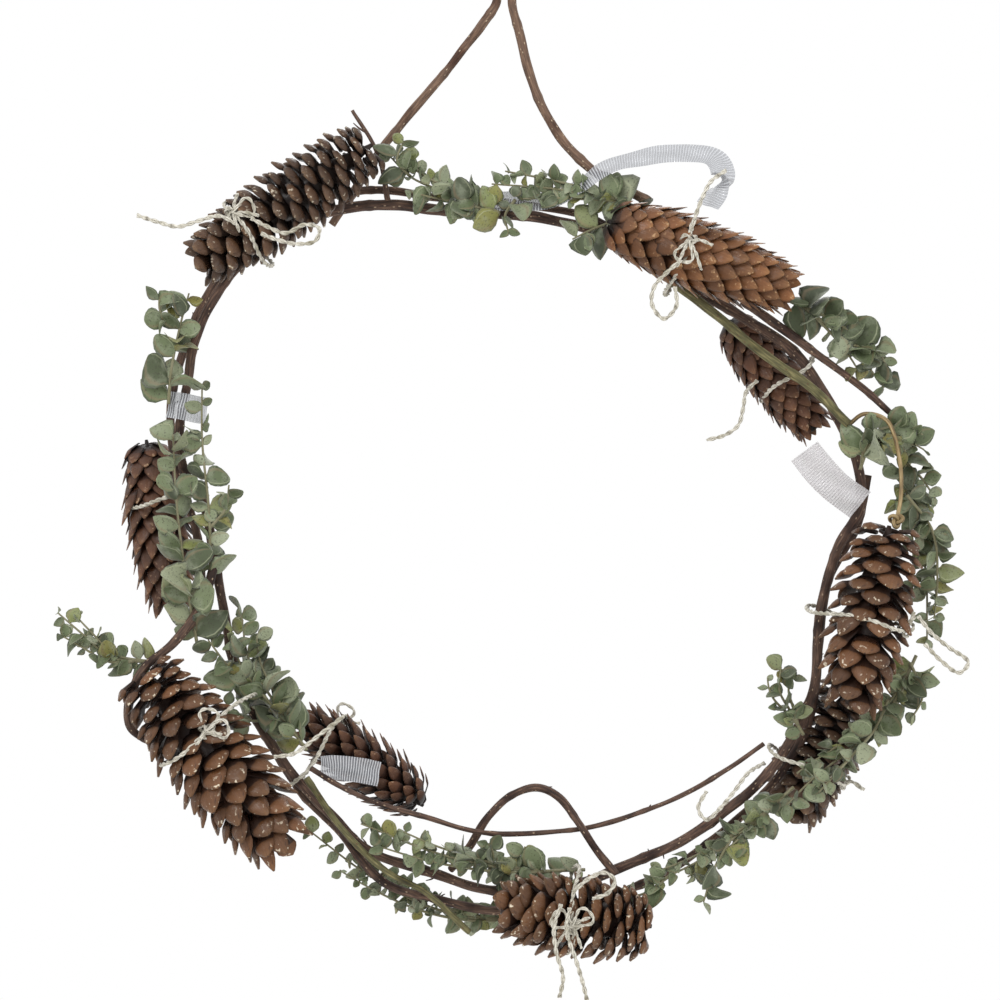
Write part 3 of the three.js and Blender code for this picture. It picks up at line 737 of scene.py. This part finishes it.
# %% [markdown]
# ## Twine ties
#
# One turn of twine goes round each cone and the vine it is tied to, with one knot. The turn
# is an ellipse across the cone that just takes in the vine. The knot is a trefoil, the simplest
# knot there is, tied in the same cord and pulled small. Short cut ends leave the knot, and some
# knots also have a small bow.

# %% Ties
TIE_BEHIND = 5.0
TIE_SINK = 0.9
TIE_KNOT = 4.6
KNOT_TWINE = 2.1
SHORT_ENDS = 3
BOW_REACH = 13.0
FINE_TWINE = 2.0

# Along the cone from 0 to 1, where round the cone the knot is, and the headings of its bows.
TIES = {
    "top_left": (0.7, 3.3, [20]), "top_right": (0.4, 3.4, [250]), "inner_right": (0.55, 3.9, []),
    "right": (0.5, 2.5, [150]), "lower_right": (0.6, 3.6, [110]), "bottom": (0.5, 3.4, [40, 150]),
    "bottom_left": (0.75, 3.3, [60]), "lower_left": (0.36, 2.2, [80, 10]), "left": (0.35, 3.3, []),
}


def tie_line(cone, station, knot_at, carrier, step=1.0):
    """centre + a cos(t) towards + b sin(t) across, with t = 0 beyond the vine, pi beyond the cone."""
    along, _, _ = cone_axes(cone["base"], cone["tip"])
    middle = np.asarray(cone["base"]) + station * np.subtract(cone["tip"], cone["base"])
    nearest = carrier[np.argmin(np.linalg.norm(carrier - middle, axis=1))]
    reach = nearest - middle
    reach = reach - reach.dot(along) * along
    far = np.linalg.norm(reach) + TIE_BEHIND
    near = cone["radius"] * TIE_SINK
    towards = unit(reach)
    across = np.cross(along, towards)
    centre = middle + towards * (far - near) / 2
    turns = round(np.pi * (far + near) / step)
    t = np.linspace(knot_at, knot_at + 2 * np.pi, turns)[:, None]
    line = centre + (far + near) / 2 * np.cos(t) * towards + cone["radius"] * TIE_SINK * np.sin(t) * across
    return line + 1.6 * np.sin(3 * (t - knot_at)) * along, along


def knot_line(centre, size):
    """Trefoil: (sin t + 2 sin 2t, -1.2 sin 3t, cos t - 2 cos 2t) scaled to `size`."""
    t = np.linspace(0, 2 * np.pi, 60)
    right = np.sin(t) + 2 * np.sin(2 * t)
    shape = np.stack([right, -1.2 * np.sin(3 * t), np.cos(t) - 2 * np.cos(2 * t)], 1)
    return centre + shape * size / 3, shape + 1e-3


def short_ends(start, count, draw):
    """Cut ends that leave the knot: each bends out to the front and droops to one side."""
    parts = []
    for heading in draw.uniform(0, 2 * np.pi, count):
        out = np.array([np.cos(heading), -0.35, np.sin(heading)])
        reach = draw.uniform(9, 16)
        droop = np.array([0, -1.5, -draw.uniform(1, 5)])
        path = [start, start + out * reach * 0.45 + (0, -2, 0), start + out * reach + droop]
        parts += twisted(smooth_line(path, TWINE_STEP), (0.2, 1, 0.3), FINE_TWINE)
    return parts


def small_bow(start, heading, reach):
    """One loop of a bow: out along `heading`, round, and back to the knot beside itself."""
    out = np.array([np.cos(heading), -0.2, np.sin(heading)])
    beside = np.array([-np.sin(heading), -0.1, np.cos(heading)])
    t = np.linspace(0, np.pi, 9)[:, None]
    path = start + out * reach * np.sin(t) ** 0.8 - beside * reach * 0.42 * np.sin(2 * t) + (0, -2.0, 0)
    return twisted(smooth_line(path, TWINE_STEP), (0.2, 1, 0.3), FINE_TWINE)


main_line = smooth_line(VINES["vine_main"][3], 4.0)
for number, (key, (station, knot_at, headings)) in enumerate(TIES.items()):
    name = next(n for n in CONES if n.split("cone_")[1] == key)
    line, along = tie_line(CONES[name], station, knot_at, main_line)
    knot, shape = knot_line(line[0], TIE_KNOT)
    parts = twisted(line, along) + twisted(knot, shape, KNOT_TWINE)
    parts += short_ends(line[0], SHORT_ENDS, np.random.default_rng(SEEDS["ties"] + number))
    for heading in headings:
        parts += small_bow(line[0], np.radians(heading), BOW_REACH)
    make_piece("twine_tie_" + key + "_strands", parts, twine, ["twine_tie_" + key])
    print("tie", key, round(length_of(line)), "mm round")

# %% [markdown]
# ## Eucalyptus
#
# The leaves are round, thick and dusty, in opposite pairs on a thin stem. Dried, they cup and
# twist. A leaf is one grid closed round its edge: the outline is a power of a sine, and the
# cup, the twist and the bend are added to its height. Most sprigs also have
# a thinner stem on either hand, and some have side shoots.

# %% Leaf finish
def leaf_material():
    """Grey-green with a dusty bloom, a pale midrib, freckles and a dry edge."""
    material, tree, uv, here = begin("eucalyptus_leaf")
    split = add(tree, "SeparateXYZ", {"Vector": uv})
    tone = add(tree, "Attribute", attribute_name="tone").outputs["Fac"]
    colour = ramp(tree, tone, [(0.0, paint(56, 64, 42)), (0.3, paint(82, 94, 60)),
                               (0.6, paint(106, 117, 84)), (0.82, paint(134, 140, 114)),
                               (0.93, paint(108, 116, 60)), (1.0, paint(124, 118, 58))])
    bloom = noise(tree, here, 110.0, 4.0)
    dust = math(tree, "MULTIPLY", band(tree, bloom, 0.45, 0.75), 0.5)
    colour = mix(tree, dust, colour, paint(146, 152, 130))
    freckle = noise(tree, here, 900.0, 2.0)
    freckles = math(tree, "MULTIPLY", band(tree, freckle, 0.58, 0.66), 0.65)
    colour = mix(tree, freckles, colour, paint(54, 52, 38))
    from_rib = math(tree, "ABSOLUTE", math(tree, "SUBTRACT", split.outputs[1], 0.5))
    rib = math(tree, "SUBTRACT", 1.0, band(tree, from_rib, 0.01, 0.05))
    colour = mix(tree, math(tree, "MULTIPLY", rib, 0.45), colour, paint(168, 172, 140))
    rim = band(tree, from_rib, 0.44, 0.5)
    colour = mix(tree, math(tree, "MULTIPLY", rim, 0.45), colour, paint(120, 100, 74))
    height = math(tree, "ADD", math(tree, "MULTIPLY", bloom, 0.7), math(tree, "MULTIPLY", rib, 0.3))
    close(tree, colour, 0.62, height, 0.0005, Sheen_Weight=0.15)
    return material


leaf_finish = leaf_material()
LEAF_ROWS = np.array([0.0, 0.1, 0.25, 0.45, 0.65, 0.83, 0.95, 0.995])
LEAF_COLUMNS = 8
PAIR_SPACING = 9.0
SPREAD = 9.0
STEM_STEP = 1.5
SIDE_LEAF = 0.8

# %% The shape of a sprig
def leaf_grids(roots, out, face, size, draw):
    """point = root + size (u out + w(u) cos(a) across) + (bend + cup + twist + t sin(a)) face."""
    count = len(roots)
    u = LEAF_ROWS[None, :]
    tip = draw.uniform(0.5, 0.85, count)[:, None]
    outline = np.sin(np.pi * np.clip((u - 0.06) / 0.94, 0, 1) ** 0.85) ** tip
    outline = np.where(u < 0.1, 0.07, outline)
    wide = outline * size[:, None] * draw.uniform(0.34, 0.52, count)[:, None]
    angle = circle(LEAF_COLUMNS)
    across = wide[..., None] * np.cos(angle)
    cup = draw.uniform(-0.5, 1.2, count)[:, None, None]
    bend = draw.uniform(-0.7, 0.35, count)[:, None]
    twist = draw.uniform(-0.8, 0.8, count)[:, None, None]
    wave = draw.uniform(0, 2 * np.pi, count)[:, None, None]
    lift = cup * across**2 / (size[:, None, None] * 0.5) + twist * across * u[..., None]
    lift = lift + 0.06 * across * np.sin(9 * u[..., None] + wave)
    lift = lift + (bend * u**2 * size[:, None])[..., None] + 0.22 * np.sin(angle)
    width = np.cross(out, face)
    centre = roots[:, None] + (u * size[:, None])[..., None] * out[:, None]
    return blade(centre, across, width, lift, face[:, None, None], LEAF_ROWS, draw)


def leafy_stem(line, leaf, draw):
    """A tapering stem, and pairs of leaves every few millimetres, each a quarter turn on."""
    stem = bar(line, np.linspace(1.1, 0.5, len(line)), 7)
    pairs = max(3, round(length_of(line) / PAIR_SPACING))
    t = np.repeat((np.arange(pairs) + 0.7) / (pairs + 0.1), 2) + draw.normal(0, 0.3 / pairs, 2 * pairs)
    t = np.clip(t, 0.01, 0.99)
    at = np.round(t * (len(line) - 1)).astype(int)
    along, side, _ = directions(line)
    sign = np.tile([-1.0, 1.0], pairs)
    quarter = np.repeat(np.arange(pairs) % 2, 2)
    tilt = np.where(quarter == 1, 1.0, 0.2) + draw.normal(0, 0.45, 2 * pairs)
    depth = np.where(quarter == 1, sign, 1.0) * np.sin(tilt)
    out = unit(side[at] * (sign * np.cos(tilt))[:, None] + FRONT * (0.7 * depth)[:, None]
               + along[at] * draw.uniform(0.1, 0.9, (2 * pairs, 1)))
    face = FRONT + draw.normal(0, 0.6, (2 * pairs, 3))
    face = unit(face - (face * out).sum(1, keepdims=True) * out)
    size = leaf * (1.12 - 0.45 * t) * draw.uniform(0.6, 1.2, 2 * pairs)
    return [stem, leaf_grids(line[at], out, face, size, draw)]


SPARSE = ["eucalyptus_left_outer", "eucalyptus_left_inner", "eucalyptus_left_top"]


def sprig_parts(route, leaf, seed, hands):
    """The sprig's main stem, and a smaller stem beside it on each of `hands`, -1 left and 1 right."""
    draw = np.random.default_rng(seed)
    line = smooth_line(route, STEM_STEP)
    parts = leafy_stem(line, leaf, draw)
    _, side, _ = directions(line)
    for hand in hands:
        first = int(len(line) * draw.uniform(0.05, 0.2))
        last = int(len(line) * draw.uniform(0.75, 0.95))
        apart = np.linspace(0, draw.uniform(5, SPREAD), last - first)[:, None]
        beside = line[first:last] + hand * apart * side[first:last] + 0.25 * apart * FRONT * hand
        parts += leafy_stem(beside, leaf * SIDE_LEAF, draw)
    return parts


# %% Fifteen sprigs and their side shoots
SPRIGS = {
    "eucalyptus_top_left": (16, [[-9, -11, 198], [-36, -13, 208], [-62, -13, 219], [-74, -12, 231]]),
    "eucalyptus_top_right": (15, [[81, -8, 199], [54, -13, 207], [24, -12, 212], [-14, -12, 215]]),
    "eucalyptus_upper_right": (17, [[160, -12, 147], [176, -15, 138], [199, -14, 119], [220, -10, 94]]),
    "eucalyptus_right_round": (19, [[205, -14, 45], [210, -17, 62], [226, -12, 66], [244, -8, 57]]),
    "eucalyptus_right_outer": (15, [[230, 2, 52], [239, 3, 22], [247, 4, -15], [248, 4, -58]]),
    "eucalyptus_right_lower": (14, [
        [240, -4, -66], [227, -8, -92], [206, -9, -116], [176, -12, -140], [160, -12, -156]]),
    "eucalyptus_inner_right": (14, [[172, -8, -113], [164, -12, -99], [157, -14, -86], [158, -14, -72]]),
    "eucalyptus_lower_right": (13, [[166, -10, -144], [139, -9, -168], [108, -9, -189], [76, -9, -204]]),
    "eucalyptus_bottom": (15, [[42, 1, -195], [3, -7, -194], [-45, -9, -184], [-92, -9, -166]]),
    "eucalyptus_bottom_low": (13, [
        [12, 17, -226], [-21, 17, -227], [-54, 16, -219], [-90, 17, -200], [-124, 15, -174]]),
    "eucalyptus_lower_left": (19, [
        [-124, -12, -122], [-141, -14, -96], [-158, -14, -68], [-163, -12, -40]]),
    "eucalyptus_left_outer": (20, [
        [-189, -14, -58], [-196, -16, -15], [-201, -16, 27], [-203, -16, 66]]),
    "eucalyptus_left_inner": (15, [[-181, -12, -20], [-182, -13, 20], [-186, -13, 62], [-186, -14, 96]]),
    "eucalyptus_left_top": (18, [[-206, -14, 84], [-204, -15, 105], [-199, -15, 130], [-194, -12, 150]]),
    "eucalyptus_far_left": (13, [[-212, -18, -69], [-238, -24, -66], [-253, -24, -54], [-270, -21, -40]]),
}

# Side shoots that grow from a sprig: how long a leaf is, and the shoot's route.
SHOOTS = {
    "eucalyptus_top_right": [
        (18, [[70, -8, 200], [58, -12, 193], [44, -14, 187], [34, -13, 182]]),
        (13, [[0, -10, 206], [-6, -13, 196], [-4, -14, 186]])],
    "eucalyptus_upper_right": [(16, [[199, -14, 119], [214, -16, 116], [222, -14, 104]])],
    "eucalyptus_right_outer": [
        (14, [[234, -6, 30], [249, -9, 8], [252, -8, -20], [250, -8, -44]]),
        (13, [[232, 2, 52], [244, 0, 40], [252, 0, 28]])],
    "eucalyptus_right_lower": [
        (14, [[222, -10, -92], [214, -16, -108], [198, -19, -126], [180, -18, -146]]),
        (12, [[236, -6, -70], [243, -8, -90], [236, -9, -104]])],
    "eucalyptus_lower_right": [
        (15, [[128, -10, -176], [118, -13, -193], [112, -13, -212]]),
        (13, [[92, -10, -197], [74, -12, -208], [60, -12, -206]])],
    "eucalyptus_bottom": [
        (15, [[8, 1, -198], [4, -5, -188], [6, -6, -180]]),
        (14, [[-16, -4, -196], [-13, -8, -184], [-16, -8, -178]])],
    "eucalyptus_lower_left": [
        (17, [[-152, -12, -86], [-168, -16, -74], [-182, -17, -56]]),
        (15, [[-140, -12, -100], [-156, -16, -104], [-172, -17, -94]])],
    "eucalyptus_left_inner": [(14, [[-182, -12, 10], [-172, -14, 22], [-170, -14, 36]])],
    "eucalyptus_left_top": [(15, [[-198, -14, 128], [-210, -17, 138], [-211, -17, 150]])],
    "eucalyptus_top_left": [(15, [[-62, -13, 219], [-70, -17, 228], [-66, -17, 240]])],
}

for seed, (name, (leaf, route)) in enumerate(SPRIGS.items()):
    hands = () if name in SPARSE else (-1.0, 1.0)
    parts = sprig_parts(route, leaf, SEEDS["sprigs"] + seed, hands)
    for number, (shoot_leaf, shoot) in enumerate(SHOOTS.get(name, [])):
        draw = np.random.default_rng(SEEDS["shoots"] + 10 * seed + number)
        parts += leafy_stem(smooth_line(shoot, STEM_STEP), shoot_leaf, draw)
    make_piece(name + "_sprig", parts, leaf_finish, [name])
    leaves = sum(len(part["quads"]) for part in parts[1::2]) // ((len(LEAF_ROWS) - 1) * LEAF_COLUMNS)
    print(name, leaves, "leaves")

# %% [markdown]
# ## Ribbon
#
# The ribbon is sheer gauze with fine ribs across it and a silver thread, whose glints are
# painted in as white specks. It is one thin sheet carried along a line, with a ripple across it,
# and it is partly see-through in the gaps between the ribs. The piece on the right is nearly
# solid there, and has more painted glints.

# %% Ribbon finish
RIB = 0.0016


def ribbon_material(name, painted_glint_from, dark, pale, clear):
    """Ribs across the ribbon, one every RIB metres; painted white glints and a shinier surface where fine
    noise is high; partly clear.
    """
    material, tree = new_material(name)
    uv = add(tree, "UVMap", uv_map="uv").outputs[0]
    split = add(tree, "SeparateXYZ", {"Vector": uv})
    ribs = math(tree, "SINE", math(tree, "MULTIPLY", split.outputs[0], 2 * np.pi / RIB))
    ribs = band(tree, ribs, -0.6, 0.8)
    # Painted highlight: where fine noise is high the colour turns white to stand in for glints of the
    # silver thread, and the same mask makes the surface shinier.
    thread_and_painted_glint = band(tree, noise(tree, uv, 2600.0, 1.0), painted_glint_from, painted_glint_from + 0.06)
    colour = mix(tree, ribs, dark, pale)
    colour = mix(tree, thread_and_painted_glint, colour, paint(255, 255, 255))
    rough = add(tree, "MapRange", {"Value": thread_and_painted_glint, "To Min": 0.5, "To Max": 0.15}).outputs[0]
    shader, output = close(tree, colour, rough, ribs, 0.0003, Metallic=0.15)
    solid = add(tree, "MapRange", {"Value": ribs, "To Min": clear, "To Max": 0.94}).outputs[0]
    tree.links.new(solid, shader.inputs["Alpha"])
    return material


gauze = ribbon_material("gauze_ribbon", 0.66, paint(122, 124, 130), paint(184, 186, 190), 0.68)
glitter_gauze = ribbon_material("glitter_ribbon", 0.56, paint(172, 168, 170), paint(180, 177, 179), 0.9)
RIBBONS = {
    "ribbon_top_right": (14, [0.3, 0.5, 0.8], [
        [-12, -6.5, 206], [2, -7.5, 205], [16, -8.5, 205], [28, -10, 208], [40, -12, 215],
        [50, -14, 222], [66, -18, 228], [88, -24, 231], [104, -28, 231], [117, -34, 227],
        [121, -41, 217], [117, -47, 206], [111, -52, 197]]),
    "ribbon_right": (20, [0.5, -0.3, 0.8], [[206, -8, 24], [192, -10, 34], [179, -12, 47], [172, -12, 56]]),
    "ribbon_lower_left": (15, [0.05, 0.25, 1], [
        [-116, -2, -134], [-108, 4, -134], [-94, 8, -136], [-82, 12, -139]]),
    "ribbon_left": (16, [0.2, 0.1, 1], [[-207, -7, 84], [-199, -10, 83], [-190, -9, 81], [-184, -5, 80]]),
}
RIBBON_COLUMNS = 17


def ribbon_grid(width, across, route, seed):
    """line + (v - 0.5) width side + ripple(v, s) normal, with v across and s along."""
    line = smooth_line(route, 1.0)
    along, _, _ = directions(line)
    side = np.asarray(across, float) - (along @ np.asarray(across, float))[:, None] * along
    side = unit(side)
    normal = np.cross(along, side)
    v = np.linspace(0, 1, RIBBON_COLUMNS)
    run = np.linspace(0, length_of(line), len(line))
    wave = ripple(seed, (v[None] * 9 + run[:, None] * 0.13, 1), (v[None] * 5 - run[:, None] * 0.21, 1))
    grid = line[:, None] + ((v - 0.5) * width)[None, :, None] * side[:, None]
    grid = grid + (0.9 * wave)[..., None] * normal[:, None]
    return surface(grid, v * width * MM, run * MM, 0.5, around=False), length_of(line)


for seed, (name, (width, across, route)) in enumerate(RIBBONS.items()):
    part, long = ribbon_grid(width, across, route, SEEDS["ribbons"] + seed)
    finish = glitter_gauze if name == "ribbon_right" else gauze
    piece = make_piece(name + "_gauze", [part], finish, [name])
    print(name, width, "x", round(long), "mm")

# %% [markdown]
# ## Raffia
#
# A strip of raffia ties the right-hand cone to the ring. It is a flat dry leaf, so it is a
# thin bar with a wide section, and its grain runs along it.

# %% Raffia tie
def raffia_material():
    """Straw colours in streaks along the strip."""
    material, tree = new_material("raffia")
    uv = add(tree, "UVMap", uv_map="uv").outputs[0]
    streaks = noise(tree, uv, 1100.0, 5.0, (0.06, 1.0, 1.0))
    colour = ramp(tree, streaks, [(0.35, paint(72, 56, 36)), (0.5, paint(134, 112, 74)),
                                  (0.68, paint(176, 156, 114))])
    close(tree, colour, 0.6, streaks, 0.0004)
    return material


RAFFIA_ROUTE = [
    [199, -9, 72], [207, -18, 78], [219, -24, 74], [226, -25, 54], [227, -27, 30], [223, -33, 13]]
raffia_line = smooth_line(RAFFIA_ROUTE, 1.0)
angle = circle(10)
flatness = 1.25 / np.sqrt(np.cos(angle) ** 2 + (3.5 * np.sin(angle)) ** 2)
strip = bar(raffia_line, np.broadcast_to(flatness, (len(raffia_line), 10)), 10)
raffia_knot, knot_shape = knot_line(np.array([223.0, -34.0, 15.0]), 4.0)
make_piece("raffia_strip", [strip, bar(raffia_knot, 1.2, 8, knot_shape)], raffia_material(),
           ["raffia_tie"])
print("raffia", round(length_of(raffia_line)), "mm")

# %% [markdown]
# ## Floor, light and air
#
# The wreath hangs in a plain white room. The floor is far below it and only shows from above.
# Three soft lamps light it: a large one in front, high on the left, a weaker one in front on
# the right to open the shadows, and one behind to draw the edges.

# %% Stage
FLOOR_DROP = 1.15
FLOOR_RADIUS = 1.6
LAMP_TARGET = (0, 0, -0.35)


def floor_disc():
    """A flat disc of grid points: (r cos a, r sin a, -drop)."""
    radius = np.linspace(0.01, FLOOR_RADIUS, 6)
    turn = circle(64)
    grid = np.stack([radius[:, None] * np.cos(turn), radius[:, None] * np.sin(turn),
                     np.full((6, 64), -FLOOR_DROP)], -1)
    quads = surface(grid, np.arange(65) / 64, np.arange(6) / 5)
    mesh = bpy.data.meshes.new("floor")
    sheet = quads["quads"][:, ::-1].tolist()
    hole = quads["ends"][0][:, ::-1].tolist()
    mesh.from_pydata(quads["points"], [], sheet + hole)
    return mesh


floor = bpy.data.objects.new("floor", floor_disc())
floor_finish, tree = new_material("floor")
speck = noise(tree, add(tree, "TexCoord").outputs["Object"], 6.0, 3.0)
close(tree, ramp(tree, speck, [(0.3, paint(232, 231, 228)), (0.7, paint(240, 239, 236))]), 0.8)
floor.data.materials.append(floor_finish)
show(floor)


def lamp(name, location, size, power):
    """A square soft lamp that faces LAMP_TARGET."""
    data = bpy.data.lights.new(name, "AREA")
    data.size = size
    data.energy = power
    lamp_object = bpy.data.objects.new(name, data)
    lamp_object.location = location
    back = unit(np.subtract(location, LAMP_TARGET))
    right = unit(np.cross([0, 0, 1.0], back))
    matrix = np.eye(4)
    matrix[:3, 0] = right
    matrix[:3, 1] = np.cross(back, right)
    matrix[:3, 2] = back
    matrix[:3, 3] = location
    lamp_object.matrix_world = matrix.T
    show(lamp_object)


lamp("key", (-0.9, -1.5, 0.9), 1.2, 22)
lamp("fill", (1.3, -1.3, -0.2), 1.4, 8)
lamp("rim", (0.3, 1.4, 0.7), 1.0, 10)

world = bpy.data.worlds.new("air")
world.use_nodes = True
world.node_tree.nodes["Background"].inputs["Color"].default_value = (1, 1, 1, 1)
world.node_tree.nodes["Background"].inputs["Strength"].default_value = 1.0
bpy.context.scene.world = world
bpy.context.scene.view_settings.view_transform = "Standard"
print("lamps and floor placed")
